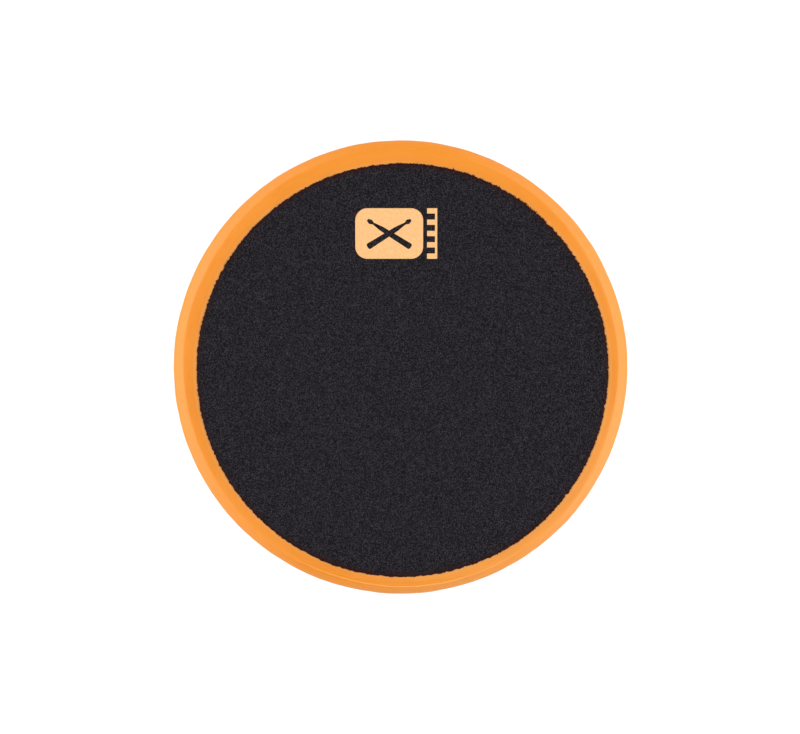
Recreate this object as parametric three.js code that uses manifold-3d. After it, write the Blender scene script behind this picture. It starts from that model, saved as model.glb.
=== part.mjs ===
// A round drum practice pad, 6 in across, that lies on a table or screws onto an M8 cymbal stand.
//
// A moulded rubber shell, open underneath, is shaped like a shallow upturned cup. Its top skin is the
// rebound layer, and a cloth disc bonded to it is the playing surface. Inside the shell a soft foam disc
// lies on a stiff wooden board, and the shell's lip turns in under the board's edge. A steel insert with
// an M8 hole is screwed to the board from below, through the open middle of a non-slip rubber base.
//
// Units are millimetres. +Z is up, the origin is the centre of the base on the table, and the print
// stands towards +Y. Layers are bonded face to face, so their heights are multiples of 1/8 mm, which
// 32-bit numbers hold exactly.

import * as THREE from "three";
import { mergeVertices } from "three/addons/utils/BufferGeometryUtils.js";
import Module from "manifold-3d";

const wasm = await Module();
wasm.setup();

// Driving dimensions.

const OUTER_RADIUS = 76.2;
const FILM = 0.25; // every adhesive film
const PLAY = 0.25; // radial gap round a piece that sits in another
const RIM_SIDES = 96; // facets round a piece of the pad's own size
const HOLE_SIDES = 32; // facets round a small hole, screw or boss

const BASE_PROUD = 0.75; // the non-slip base stands this far below the shell
const LIP_THICKNESS = 2.25;
const BOARD_THICKNESS = 11;
const FOAM_THICKNESS = 5;
const SKIN_THICKNESS = 3.5;
const CLOTH_THICKNESS = 0.625;
const PRINT_THICKNESS = 0.125;

const WALL = 4.95;
const LIP_RADIUS = 66; // inner edge of the lip under the board
const CLOTH_RADIUS = 68.75;
const INSERT_OPENING_RADIUS = 17;

const FLANGE_RADIUS = 14;
const FLANGE_THICKNESS = 1.5;
const BOSS_RADIUS = 5.5;
const BOSS_LENGTH = 10.5;
const THREAD_MINOR_RADIUS = 3.35; // M8 x 1.25

const SCREW_CIRCLE_RADIUS = 10;
const SCREW_COUNT = 3;
const SCREW_LENGTH = 9.5;
const SCREW_POINT = 2;
const SCREW_HEAD_RADIUS = 2.75;
const SCREW_SHANK_RADIUS = 1.25;
const SCREW_CLEARANCE = 0.2;
const RECESS = { width: 0.6, length: 3, depth: 0.9 };

// Heights of the layers, from the table up.

const SHELL_UNDERSIDE = BASE_PROUD;
const BOARD_UNDERSIDE = SHELL_UNDERSIDE + LIP_THICKNESS;
const BOARD_TOP = BOARD_UNDERSIDE + BOARD_THICKNESS;
const FOAM_UNDERSIDE = BOARD_TOP + FILM;
const FOAM_TOP = FOAM_UNDERSIDE + FOAM_THICKNESS;
const SKIN_UNDERSIDE = FOAM_TOP + FILM;
const SHELL_TOP = SKIN_UNDERSIDE + SKIN_THICKNESS;
const CLOTH_UNDERSIDE = SHELL_TOP + FILM;
const CLOTH_TOP = CLOTH_UNDERSIDE + CLOTH_THICKNESS;

const CAVITY_RADIUS = OUTER_RADIUS - WALL;
const CORE_RADIUS = CAVITY_RADIUS - PLAY;
const BASE_RADIUS = LIP_RADIUS - PLAY;

// The printed marks: a badge of crossed drumsticks, and a scale of five ticks beside it.

const BADGE = { x: -3.75, y: 44.75, width: 22.5, height: 16.75, corner: 4 };
const STICK = { length: 17, butt: 1.05, shoulder: 0.8, neck: 0.35, bead: 0.85, lean: 32 };
const TICKS = { x: 10.5, count: 5, width: 3.375, bar: 1.75, spine: 0.75 };

const material = (color, roughness, metalness = 0) =>
  new THREE.MeshStandardMaterial({ color, roughness, metalness });

const MATERIALS = {
  orangeRubber: material("#f4933a", 0.5),
  blackCloth: material("#2b272e", 0.95),
  printInk: material("#ffc583", 0.7),
  adhesive: material("#d9d3c4", 0.4),
  foam: material("#3a3a3d", 0.95),
  board: material("#a8825a", 0.85),
  zincSteel: material("#b9bcc0", 0.3, 1),
  blackRubber: material("#1d1d1f", 0.85),
};

// Geometry helpers.

function solidFrom(geometry) {
  const bare = geometry.clone();
  bare.deleteAttribute("normal");
  bare.deleteAttribute("uv");
  const merged = mergeVertices(bare, 1e-4);
  return new wasm.Manifold(
    new wasm.Mesh({
      numProp: 3,
      vertProperties: merged.attributes.position.array,
      triVerts: new Uint32Array(merged.index.array),
    }),
  );
}

function geometryFrom(solid) {
  const mesh = solid.getMesh();
  const geometry = new THREE.BufferGeometry();
  geometry.setAttribute("position", new THREE.BufferAttribute(mesh.vertProperties, 3));
  geometry.setIndex(new THREE.BufferAttribute(mesh.triVerts, 1));
  const faceted = geometry.toNonIndexed();
  faceted.computeVertexNormals();
  return faceted;
}

function cut(geometry, ...tools) {
  return geometryFrom(
    tools.reduce((solid, tool) => solid.subtract(solidFrom(tool)), solidFrom(geometry)),
  );
}

// A solid of revolution about +Z, from a profile of (radius, height) points.
function turned(profile, sides) {
  const geometry = new THREE.LatheGeometry(profile, sides);
  geometry.rotateX(Math.PI / 2);
  return geometry;
}

const point = (radius, height) => new THREE.Vector2(radius, height);

function circle(radius, sides, x = 0, y = 0) {
  const points = [];
  for (let i = 0; i < sides; i++) {
    const angle = (2 * Math.PI * i) / sides;
    points.push(point(x + radius * Math.cos(angle), y + radius * Math.sin(angle)));
  }
  return points;
}

// A flat plate of one outline, with holes, standing on height z.
function plate(outline, holes, z, thickness) {
  const shape = new THREE.Shape(outline);
  shape.holes = holes.map((hole) => new THREE.Path(hole));
  const geometry = new THREE.ExtrudeGeometry(shape, { depth: thickness, bevelEnabled: false });
  geometry.translate(0, 0, z);
  return geometry;
}

function disc(radius, z, thickness, holes = []) {
  return plate(circle(radius, RIM_SIDES), holes, z, thickness);
}

function screwPlaces() {
  const places = [];
  for (let i = 0; i < SCREW_COUNT; i++) {
    const angle = Math.PI / 2 + (2 * Math.PI * i) / SCREW_COUNT;
    places.push(point(SCREW_CIRCLE_RADIUS * Math.cos(angle), SCREW_CIRCLE_RADIUS * Math.sin(angle)));
  }
  return places;
}

// The pieces.

// Draws a line towards a corner and rounds the corner on the way to the next point.
function roundCorner(path, corner, next, round) {
  const before = corner.clone().sub(path.currentPoint).setLength(round);
  const after = next.clone().sub(corner).setLength(round);
  path.lineTo(corner.x - before.x, corner.y - before.y);
  path.quadraticCurveTo(corner.x, corner.y, corner.x + after.x, corner.y + after.y);
}

// The shell's section: a flat top out to a crisp crease, a bevel with a soft foot, a side that bulges
// a little, a rounded foot, the lip under the board, and the cavity.
function shellGeometry() {
  const crease = point(72.3, SHELL_TOP);
  const bevelFoot = point(75.75, SHELL_TOP - 2.8);
  const sideTop = point(OUTER_RADIUS - 0.32, SHELL_TOP - 6.5);
  const bulge = point(OUTER_RADIUS + 0.33, (SHELL_TOP + SHELL_UNDERSIDE) / 2);
  const sideFoot = point(OUTER_RADIUS - 0.35, SHELL_UNDERSIDE + 4.2);
  const footCorner = point(OUTER_RADIUS - 1.1, SHELL_UNDERSIDE);
  const innerLip = point(LIP_RADIUS, SHELL_UNDERSIDE);
  const rounds = { crease: 0.35, bevelFoot: 1.2, footCorner: 2.2 };

  const section = new THREE.Path();
  section.moveTo(0, SHELL_TOP);
  roundCorner(section, crease, bevelFoot, rounds.crease);
  roundCorner(section, bevelFoot, sideTop, rounds.bevelFoot);
  section.lineTo(sideTop.x, sideTop.y);
  section.quadraticCurveTo(bulge.x, bulge.y, sideFoot.x, sideFoot.y);
  roundCorner(section, footCorner, innerLip, rounds.footCorner);
  section.lineTo(innerLip.x, innerLip.y);
  section.lineTo(LIP_RADIUS, BOARD_UNDERSIDE);
  section.lineTo(CAVITY_RADIUS, BOARD_UNDERSIDE);
  section.lineTo(CAVITY_RADIUS, SKIN_UNDERSIDE);
  section.lineTo(0, SKIN_UNDERSIDE);
  const stepsPerCurve = 6;
  return turned(section.getPoints(stepsPerCurve).reverse(), RIM_SIDES);
}

function boardGeometry() {
  const bossHole = circle(BOSS_RADIUS + PLAY, HOLE_SIDES);
  const pilots = screwPlaces().map((p) =>
    circle(SCREW_SHANK_RADIUS + SCREW_CLEARANCE, HOLE_SIDES / 2, p.x, p.y),
  );
  return disc(CORE_RADIUS, BOARD_UNDERSIDE, BOARD_THICKNESS, [bossHole, ...pilots]);
}

// Flange and boss in one turned piece with the M8 hole through it, countersunk for its screws.
function insertGeometry() {
  const face = BOARD_UNDERSIDE - FLANGE_THICKNESS;
  const bossTop = BOARD_UNDERSIDE + BOSS_LENGTH;
  const section = [
    point(THREAD_MINOR_RADIUS, face),
    point(FLANGE_RADIUS, face),
    point(FLANGE_RADIUS, BOARD_UNDERSIDE),
    point(BOSS_RADIUS, BOARD_UNDERSIDE),
    point(BOSS_RADIUS, bossTop),
    point(THREAD_MINOR_RADIUS, bossTop),
    point(THREAD_MINOR_RADIUS, face),
  ];
  const margin = 0.5; // the countersink runs past both faces of the flange
  const slope = (SCREW_HEAD_RADIUS - SCREW_SHANK_RADIUS) / FLANGE_THICKNESS;
  const wide = SCREW_HEAD_RADIUS + SCREW_CLEARANCE + slope * margin;
  const narrow = SCREW_SHANK_RADIUS + SCREW_CLEARANCE - slope * margin;
  const countersinks = screwPlaces().map((p) => {
    const cone = turned(
      [
        point(0, face - margin),
        point(wide, face - margin),
        point(narrow, BOARD_UNDERSIDE + margin),
        point(0, BOARD_UNDERSIDE + margin),
      ],
      HOLE_SIDES,
    );
    return cone.translate(p.x, p.y, 0);
  });
  return cut(turned(section, HOLE_SIDES * 2), ...countersinks);
}

// A countersunk wood screw, point up, with its head flush in the flange and a cross recess.
function screwGeometry(place) {
  const face = BOARD_UNDERSIDE - FLANGE_THICKNESS;
  const tip = face + SCREW_LENGTH;
  const blank = turned(
    [
      point(0, face),
      point(SCREW_HEAD_RADIUS, face),
      point(SCREW_SHANK_RADIUS, BOARD_UNDERSIDE),
      point(SCREW_SHANK_RADIUS, tip - SCREW_POINT),
      point(0, tip),
    ],
    HOLE_SIDES / 2,
  );
  const slot = (length, width) =>
    new THREE.BoxGeometry(length, width, RECESS.depth * 2).translate(0, 0, face);
  const made = cut(blank, slot(RECESS.length, RECESS.width), slot(RECESS.width, RECESS.length));
  return made.translate(place.x, place.y, 0);
}

// Half of a drumstick's outline, as (along, half width), from butt to bead.
function stickOutline() {
  const half = STICK.length / 2;
  const side = [
    point(-half, STICK.butt),
    point(half * 0.35, STICK.shoulder),
    point(half * 0.74, STICK.neck),
    point(half * 0.86, STICK.bead),
    point(half, STICK.bead * 0.45),
  ];
  const mirrored = [...side].reverse().map((p) => point(p.x, -p.y));
  return [...side, ...mirrored];
}

// A rounded plate with two crossed drumsticks cut out of it.
function badgeGeometry() {
  const { x, y, width, height, corner } = BADGE;
  const left = x - width / 2;
  const right = x + width / 2;
  const bottom = y - height / 2;
  const top = y + height / 2;
  const outline = new THREE.Path();
  outline.moveTo(left + corner, bottom);
  outline.lineTo(right - corner, bottom);
  outline.absarc(right - corner, bottom + corner, corner, -Math.PI / 2, 0);
  outline.absarc(right - corner, top - corner, corner, 0, Math.PI / 2);
  outline.absarc(left + corner, top - corner, corner, Math.PI / 2, Math.PI);
  outline.absarc(left + corner, bottom + corner, corner, Math.PI, Math.PI * 1.5);
  const badge = plate(outline.getPoints(8), [], CLOTH_TOP, PRINT_THICKNESS);
  const sticks = [STICK.lean, 180 - STICK.lean].map((degrees) =>
    plate(stickOutline(), [], -1, 2)
      .rotateZ(THREE.MathUtils.degToRad(degrees))
      .translate(x, y, CLOTH_TOP),
  );
  return cut(badge, ...sticks);
}

// Five ticks joined by a spine, like the edge of a ruler.
function ticksGeometry() {
  const left = TICKS.x - TICKS.width / 2;
  const right = TICKS.x + TICKS.width / 2;
  const bottom = BADGE.y - BADGE.height / 2;
  const step = (BADGE.height - TICKS.bar) / (TICKS.count - 1);
  const outline = [point(right, bottom)];
  outline.push(point(right, bottom + BADGE.height));
  for (let i = TICKS.count - 1; i >= 0; i--) {
    const low = bottom + i * step;
    outline.push(point(left, low + TICKS.bar), point(left, low));
    if (i > 0) {
      outline.push(point(right - TICKS.spine, low), point(right - TICKS.spine, low - step + TICKS.bar));
    }
  }
  return plate(outline, [], CLOTH_TOP, PRINT_THICKNESS);
}

// The assembly.

const pad = new THREE.Group();

function add(name, geometry, look) {
  const mesh = new THREE.Mesh(geometry, look);
  mesh.name = name;
  pad.add(mesh);
}

const insertOpening = circle(INSERT_OPENING_RADIUS, HOLE_SIDES * 2);

add("rubber_shell", shellGeometry(), MATERIALS.orangeRubber);
add("cloth_bond_film", disc(CLOTH_RADIUS, SHELL_TOP, FILM), MATERIALS.adhesive);
add("playing_cloth", disc(CLOTH_RADIUS, CLOTH_UNDERSIDE, CLOTH_THICKNESS), MATERIALS.blackCloth);
add("printed_badge", badgeGeometry(), MATERIALS.printInk);
add("printed_ticks", ticksGeometry(), MATERIALS.printInk);
add("skin_bond_film", disc(CORE_RADIUS, FOAM_TOP, FILM), MATERIALS.adhesive);
add("foam_core", disc(CORE_RADIUS, FOAM_UNDERSIDE, FOAM_THICKNESS), MATERIALS.foam);
add("foam_bond_film", disc(CORE_RADIUS, BOARD_TOP, FILM), MATERIALS.adhesive);
add("base_board", boardGeometry(), MATERIALS.board);
add("stand_insert", insertGeometry(), MATERIALS.zincSteel);
screwPlaces().forEach((place, i) => {
  add(`insert_screw_${i + 1}`, screwGeometry(place), MATERIALS.zincSteel);
});
add(
  "base_bond_film",
  disc(BASE_RADIUS, BOARD_UNDERSIDE - FILM, FILM, [insertOpening]),
  MATERIALS.adhesive,
);
add(
  "grip_base",
  disc(BASE_RADIUS, 0, BOARD_UNDERSIDE - FILM, [insertOpening]),
  MATERIALS.blackRubber,
);

export default pad;
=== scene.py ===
# %% [markdown]
# # A round drum practice pad
#
# The pad is a shallow cup of moulded orange rubber, turned upside down, with a disc of black cloth
# bonded on top to play on. Under the rubber lie a foam disc and a fibre board, and a threaded steel
# insert in the base takes a cymbal stand. This lesson dresses the plain frame: every piece that
# shows is modelled again with real edges and surfaces, and every hidden piece gets its own material.
#
# First the frame is loaded. It holds one plain mesh for each piece, at its place and size, in metres.

# %% Load the frame
import math
import random

import bmesh
import bpy
from mathutils import Matrix, Vector, noise


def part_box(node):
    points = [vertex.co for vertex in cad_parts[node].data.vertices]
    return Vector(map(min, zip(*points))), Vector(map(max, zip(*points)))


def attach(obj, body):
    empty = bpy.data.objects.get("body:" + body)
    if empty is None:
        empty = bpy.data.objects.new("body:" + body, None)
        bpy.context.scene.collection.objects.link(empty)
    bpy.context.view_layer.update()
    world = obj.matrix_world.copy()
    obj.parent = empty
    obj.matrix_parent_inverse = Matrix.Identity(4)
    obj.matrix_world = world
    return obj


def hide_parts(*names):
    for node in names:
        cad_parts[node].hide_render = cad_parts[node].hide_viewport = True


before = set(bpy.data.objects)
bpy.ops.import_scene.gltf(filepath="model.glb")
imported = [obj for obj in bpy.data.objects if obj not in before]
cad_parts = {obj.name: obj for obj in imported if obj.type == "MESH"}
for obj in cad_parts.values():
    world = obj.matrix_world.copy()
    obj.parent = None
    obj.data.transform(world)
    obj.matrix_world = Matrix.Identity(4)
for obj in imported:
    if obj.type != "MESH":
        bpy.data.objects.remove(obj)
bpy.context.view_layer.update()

MM = 0.001
print("nodes:", sorted(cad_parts))

# %% [markdown]
# Sizes could be typed in again, but the ones read from the frame always fit it. What the frame leaves
# out is set here, such as the small shift with which the cloth disc was laid, because it is placed by
# hand and is never quite in the middle.

# %% Sizes
SHELL_LOW, SHELL_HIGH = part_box("rubber_shell")
CLOTH_LOW, CLOTH_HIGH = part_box("playing_cloth")

OUTER_RADIUS = SHELL_HIGH.x
CLOTH_RADIUS = CLOTH_HIGH.x
CREASE_RADIUS = 72.45 * MM  # where the flat shoulder turns down into the bevel
CLOTH_SHIFT = Vector((0.66 * MM, -0.84 * MM, 0))
ROUND_STEPS = 256  # facets round a piece of the pad's own size
print(f"outer radius {OUTER_RADIUS / MM:.1f} mm, cloth radius {CLOTH_RADIUS / MM:.1f} mm")

# %% [markdown]
# ## Camera and light
#
# The camera looks down from just under a metre and leans two degrees towards the printed mark, so one
# wall of the shell shows a little more than the other. A plain top view could use a flat, orthographic
# camera, but a lens keeps the slight spread of the walls. Its length follows from how large the pad
# has to stand in the frame.

# %% Camera
TILT = math.radians(2.2)
DISTANCE = 900 * MM
PAD_SHARE = 0.5655  # the pad's radius as a share of half the frame's width

AIM = Vector((-0.17 * MM, -0.03 * MM, (SHELL_LOW.z + SHELL_HIGH.z) / 2))

camera_data = bpy.data.cameras.new("camera")
camera_data.sensor_width = 36
camera_data.lens = camera_data.sensor_width / 2 * PAD_SHARE * DISTANCE / OUTER_RADIUS
camera = bpy.data.objects.new("camera", camera_data)
camera.location = AIM + DISTANCE * Vector((0, math.sin(TILT), math.cos(TILT)))
camera.rotation_euler = (-TILT, 0, 0)
bpy.context.scene.collection.objects.link(camera)
bpy.context.scene.camera = camera
print(f"lens {camera_data.lens:.0f} mm")

# %% [markdown]
# On each side one softbox hangs high, for the flat faces, and a long one stands low, for the bevel.
# None lights the pad from the front, so the near stretch of the bevel stays darker, and that is what
# lets the eye read the moulded edge. The card in front shows in reflections only: it draws a thin
# bright line along the near crease. One function makes them all, since they differ only in place,
# size and power, and it turns each to face the pad.

# %% Softboxes
def softbox(name, place, size, watts):
    """A lamp of some width and height at a place, turned to face the pad."""
    data = bpy.data.lights.new(name, "AREA")
    data.shape = "RECTANGLE"
    data.size, data.size_y = size
    data.energy = watts
    lamp = bpy.data.objects.new(name, data)
    lamp.location = place
    lamp.rotation_euler = (AIM - lamp.location).to_track_quat("-Z", "Y").to_euler()
    lamp.visible_camera = False
    bpy.context.scene.collection.objects.link(lamp)
    print(f"{name}: {watts} W, {(lamp.location - AIM).length:.2f} m from the pad")
    return lamp


for side_name, side in (("left", -1), ("right", 1)):
    softbox(f"{side_name}_high_softbox", Vector((side * 0.9, 0, 1.0)), (1.0, 0.8), 8.4)
    softbox(f"{side_name}_low_softbox", Vector((side * 0.75, 0.1, 0.15)), (2.6, 0.26), 6.5)
card = softbox("front_card", Vector((0, -0.95, 0.9)), (0.9, 0.3), 5.0)
card.visible_diffuse = False

# %% [markdown]
# A pad for a catalogue stands in a white room. The eye should see that room as pure white, but so much
# light from all round would wash out the form. So the world is full white only for the rays that come
# straight from the camera, and dimmer for all the others. The floor is one large plain sheet.

# %% White room and floor
SURROUNDINGS = 0.3  # how bright the white room is beside the lamps
world = bpy.data.worlds.new("white_surroundings")
world.use_nodes = True
room = world.node_tree.nodes["Background"]
room.inputs["Color"].default_value = (1, 1, 1, 1)
is_backdrop = world.node_tree.nodes.new("ShaderNodeLightPath").outputs["Is Camera Ray"]
brightness = world.node_tree.nodes.new("ShaderNodeMapRange")
brightness.inputs["To Min"].default_value = SURROUNDINGS
world.node_tree.links.new(is_backdrop, brightness.inputs["Value"])
world.node_tree.links.new(brightness.outputs[0], room.inputs["Strength"])
bpy.context.scene.world = world
bpy.context.scene.view_settings.view_transform = "Standard"

bpy.ops.object.select_all(action="DESELECT")
bpy.ops.mesh.primitive_plane_add(size=8)
floor = bpy.context.object
floor.name = "floor"
print(f"the room lights the pad at {SURROUNDINGS} of full white")

# %% [markdown]
# ## Helpers for materials
#
# Paint charts give sRGB values, and the renderer wants linear ones, so one function turns a hex value
# into a linear colour. Another adds a node to a material with its settings and its links, which keeps
# each recipe short enough to read. Pictures could give colour and grain too, but they stretch and
# repeat, so every finish here is worked out from the place of each point on the piece, at true size.

# %% Material helpers
MIX_FACTOR, MIX_A, MIX_B, MIX_RESULT = 0, 6, 7, 2  # a colour Mix node's sockets, which share names


def linear(hex_value):
    """An sRGB hex value as a linear colour with full alpha."""
    parts = [int(hex_value[i : i + 2], 16) / 255 for i in (1, 3, 5)]
    return [p / 12.92 if p <= 0.04045 else ((p + 0.055) / 1.055) ** 2.4 for p in parts] + [1.0]


def add(tree, kind, sockets=None, **settings):
    """Adds a shader node; sockets maps an input to a value, or to the output that feeds it."""
    node = tree.nodes.new("ShaderNode" + kind)
    for key, value in settings.items():
        setattr(node, key, value)
    for socket, source in (sockets or {}).items():
        if isinstance(source, bpy.types.NodeSocket):
            tree.links.new(source, node.inputs[socket])
        else:
            node.inputs[socket].default_value = source
    return node


def new_material(name, roughness, metallic=0.0):
    """A material's node tree, its principled shader and the place of each point on the piece."""
    material = bpy.data.materials.new(name)
    material.use_nodes = True
    tree = material.node_tree
    shader = tree.nodes["Principled BSDF"]
    shader.inputs["Roughness"].default_value = roughness
    shader.inputs["Metallic"].default_value = metallic
    place = add(tree, "TexCoord").outputs["Object"]
    print(f"material {name}: roughness {roughness}, metallic {metallic}")
    return material, tree, shader, place


def per_mm(grain):
    """The scale that gives a noise a grain of this many millimetres."""
    return 1 / (grain * MM)


# %% [markdown]
# The floor is matt white paper. Its fibres are too fine to show, so broad clouds of 12 mm stand for
# its unevenness. Plain paper would come out grey beside the white room, so it gets a glow of its own.
# To keep it from throwing all that light back up at the pad, the glow is strong only for the rays
# that come from the camera.

# %% White paper
WHITE_PAPER, tree, shader, place = new_material("white_paper", roughness=0.9)
clouds = add(tree, "TexNoise", {"Vector": place, "Scale": per_mm(12)})
tint = add(
    tree,
    "Mix",
    {MIX_FACTOR: clouds.outputs["Fac"], MIX_A: linear("#858585"), MIX_B: linear("#8b8b8b")},
    data_type="RGBA",
)
tree.links.new(tint.outputs[MIX_RESULT], shader.inputs["Base Color"])
shader.inputs["Emission Color"].default_value = (1, 1, 1, 1)
to_camera = add(tree, "LightPath").outputs["Is Camera Ray"]
glow = add(tree, "MapRange", {"Value": to_camera, "To Min": 0.5, "To Max": 0.88})
tree.links.new(glow.outputs[0], shader.inputs["Emission Strength"])
floor.data.materials.append(WHITE_PAPER)

# %% [markdown]
# ## Materials of the pieces that show
#
# The shell is a soft thermoplastic rubber, moulded in one piece. It has an even orange colour with a
# satin skin: a faint grain from the mould, slow changes of gloss where the rubber flowed, and a
# touch of pale bloom. A roughness of about 0.45 and a rubber's IOR of 1.5 are the starting values.
# A mould's grain is about 0.1 mm; it is drawn at 0.5 mm, because finer would not show.
#
# The rubber ran round the mould, so its streaks follow the rim. They could be painted along the edge
# of the mesh; here a noise reads the distance from the middle and the height, and barely the place
# round the rim, which draws it out into long streaks on any part of the shell.

# %% Moulded orange rubber
ORANGE_RUBBER, tree, shader, place = new_material("moulded_orange_rubber", roughness=0.45)
flow = add(tree, "TexNoise", {"Vector": place, "Scale": per_mm(18), "Detail": 3.0})
speckle = add(tree, "TexNoise", {"Vector": place, "Scale": per_mm(0.5), "Detail": 2.0})
flat_place = add(tree, "VectorMath", {0: place, 1: (1, 1, 0)}, operation="MULTIPLY")
radius = add(tree, "VectorMath", {0: flat_place.outputs["Vector"]}, operation="LENGTH")
parts = add(tree, "SeparateXYZ", {"Vector": place})
slow_turn = add(tree, "Math", {0: flow.outputs["Fac"], 1: 12 * MM}, operation="MULTIPLY")
along = add(
    tree,
    "CombineXYZ",
    {"X": radius.outputs["Value"], "Y": parts.outputs["Z"], "Z": slow_turn.outputs[0]},
)
streaks = add(
    tree, "TexNoise", {"Vector": along.outputs["Vector"], "Scale": per_mm(1.4), "Detail": 2.0}
)

# %% [markdown]
# The colour is mixed in layers, from the inside out: the flow of the rubber, the streaks, a pale band
# of painted light just outside the cloth's edge, a side painted paler towards the near right as
# painted light, and the bloom on the grain's high spots. Each layer is a mask and a tone, so a loop
# lays them one by one.

# %% Colour of the rubber
colour = add(
    tree,
    "Mix",
    {MIX_FACTOR: flow.outputs["Fac"], MIX_A: linear("#ef8d17"), MIX_B: linear("#f59522")},
    data_type="RGBA",
)
streaky = add(
    tree,
    "MapRange",
    {"Value": streaks.outputs["Fac"], "From Min": 0.45, "From Max": 0.7, "To Max": 0.3},
)
# Painted light: a pale band is painted on the rubber just outside the cloth's edge, as if more light
# fell there.
LIGHT_BAND_WIDTH = 1.1 * MM
from_cloth = add(
    tree, "VectorMath", {0: flat_place.outputs["Vector"], 1: CLOTH_SHIFT}, operation="DISTANCE"
)
painted_light_band = add(
    tree,
    "MapRange",
    {
        "Value": from_cloth.outputs["Value"],
        "From Min": CLOTH_RADIUS + LIGHT_BAND_WIDTH,
        "From Max": CLOTH_RADIUS,
        "To Max": 0.35,
    },
)
# Painted light: the rubber is painted paler towards the near right, as if that side of the shoulder
# were lit more brightly.
LIT_SIDE = (0.6, -0.8, 0)  # the direction of the near right
towards_lit_side = add(tree, "VectorMath", {0: place, 1: LIT_SIDE}, operation="DOT_PRODUCT")
painted_light_side = add(
    tree,
    "MapRange",
    {
        "Value": towards_lit_side.outputs["Value"],
        "From Min": 40 * MM,
        "From Max": 72 * MM,
        "To Max": 0.16,
    },
)
bloom = add(
    tree,
    "MapRange",
    {"Value": speckle.outputs["Fac"], "From Min": 0.5, "From Max": 0.8, "To Max": 0.06},
)
for mask, tone in ((streaky, "#e88613"), (painted_light_band, "#ffc27a"), (painted_light_side, "#ffc27a"), (bloom, "#ffb878")):
    colour = add(
        tree,
        "Mix",
        {MIX_FACTOR: mask.outputs[0], MIX_A: colour.outputs[MIX_RESULT], MIX_B: linear(tone)},
        data_type="RGBA",
    )
tree.links.new(colour.outputs[MIX_RESULT], shader.inputs["Base Color"])
# The width printed here is that of the band of painted light beside the cloth.
print(f"adhesive haze {LIGHT_BAND_WIDTH / MM:.1f} mm wide beside the cloth")

# %% [markdown]
# The gloss changes slowly with the flow. On the near side, where the pad is held, hands have polished
# the crease, so the roughness falls there: the product of two masks, one for the crease and one for
# the near side, is taken away from it.

# %% Gloss and grain of the rubber
SATIN = 0.38  # the lowest roughness of the moulded skin
POLISHED = 0.16  # the roughness of the crease where hands have rubbed it
POLISH_REACH = 1.1 * MM
gloss = add(
    tree,
    "MapRange",
    {"Value": flow.outputs["Fac"], "From Min": 0.3, "From Max": 0.7, "To Min": SATIN, "To Max": 0.48},
)
on_crease = add(
    tree, "Math", {0: radius.outputs["Value"], 1: CREASE_RADIUS, 2: POLISH_REACH}, operation="COMPARE"
)
handled = add(
    tree,
    "MapRange",
    {
        "Value": parts.outputs["Y"],
        "From Min": -64 * MM,
        "From Max": -72 * MM,
        "To Max": SATIN - POLISHED,
    },
)
rubbed = add(tree, "Math", {0: on_crease.outputs[0], 1: handled.outputs[0]}, operation="MULTIPLY")
polished = add(tree, "Math", {0: gloss.outputs[0], 1: rubbed.outputs[0]}, operation="SUBTRACT")
tree.links.new(polished.outputs[0], shader.inputs["Roughness"])
grain = add(tree, "Bump", {"Height": speckle.outputs["Fac"], "Strength": 0.12, "Distance": 0.05 * MM})
tree.links.new(grain.outputs["Normal"], shader.inputs["Normal"])
shader.inputs["IOR"].default_value = 1.5
print(f"roughness from {SATIN} on the skin down to {POLISHED} on the rubbed crease")

# %% [markdown]
# The playing face is a tight plain weave of black polyester yarn. Black cloth is never really black:
# at each crossing another yarn lies on top and catches the light its own way, so the face is a fine
# salt and pepper of near-black and grey. One picture of a weave would repeat, so the tone comes from
# a random value for each crossing: the place is counted in yarns, bent a little so that no row is
# ruled, and rounded down. The random value is raised to a power, so most crossings stay dark and only
# some are pale. Lint adds slower changes.

# %% Black woven cloth
YARN = 0.24 * MM  # spacing of the yarns
BLACK_CLOTH, tree, shader, place = new_material("black_polyester_weave", roughness=0.9)
in_yarns = add(
    tree,
    "Mapping",
    {"Vector": place, "Location": -CLOTH_SHIFT / YARN, "Scale": (1 / YARN, 1 / YARN, 0)},
)
lint = add(tree, "TexNoise", {"Vector": place, "Scale": per_mm(0.9), "Detail": 4.0})
wear = add(tree, "TexNoise", {"Vector": place, "Scale": per_mm(6), "Detail": 3.0})
bent = add(
    tree,
    "VectorMath",
    {0: lint.outputs["Color"], 1: (1.6, 1.6, 0), 2: in_yarns.outputs["Vector"]},
    operation="MULTIPLY_ADD",
)
crossing = add(tree, "VectorMath", {0: bent.outputs["Vector"]}, operation="FLOOR")
shine = add(tree, "TexWhiteNoise", {"Vector": crossing.outputs["Vector"]})
skewed = add(tree, "Math", {0: shine.outputs["Value"], 1: 2.5}, operation="POWER")
print(f"one crossing of the cloth is {YARN / MM:.2f} mm wide")

# %% [markdown]
# The tones are mixed in three steps: the crossing, then the slow wear, then the rim. The rim of the
# cloth is painted darker and warmer towards the cut edge: painted shade along the edge. It could be a
# ring of its own, but the shade fades inwards, which a mask on the distance from the cloth's middle
# does without a seam.

# %% Tones of the cloth
colour = add(
    tree,
    "Mix",
    {MIX_FACTOR: skewed.outputs[0], MIX_A: linear("#0a090b"), MIX_B: linear("#3f3b43")},
    data_type="RGBA",
)
worn = add(
    tree, "MapRange", {"Value": wear.outputs["Fac"], "From Min": 0.35, "From Max": 0.65, "To Max": 0.12}
)
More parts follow.
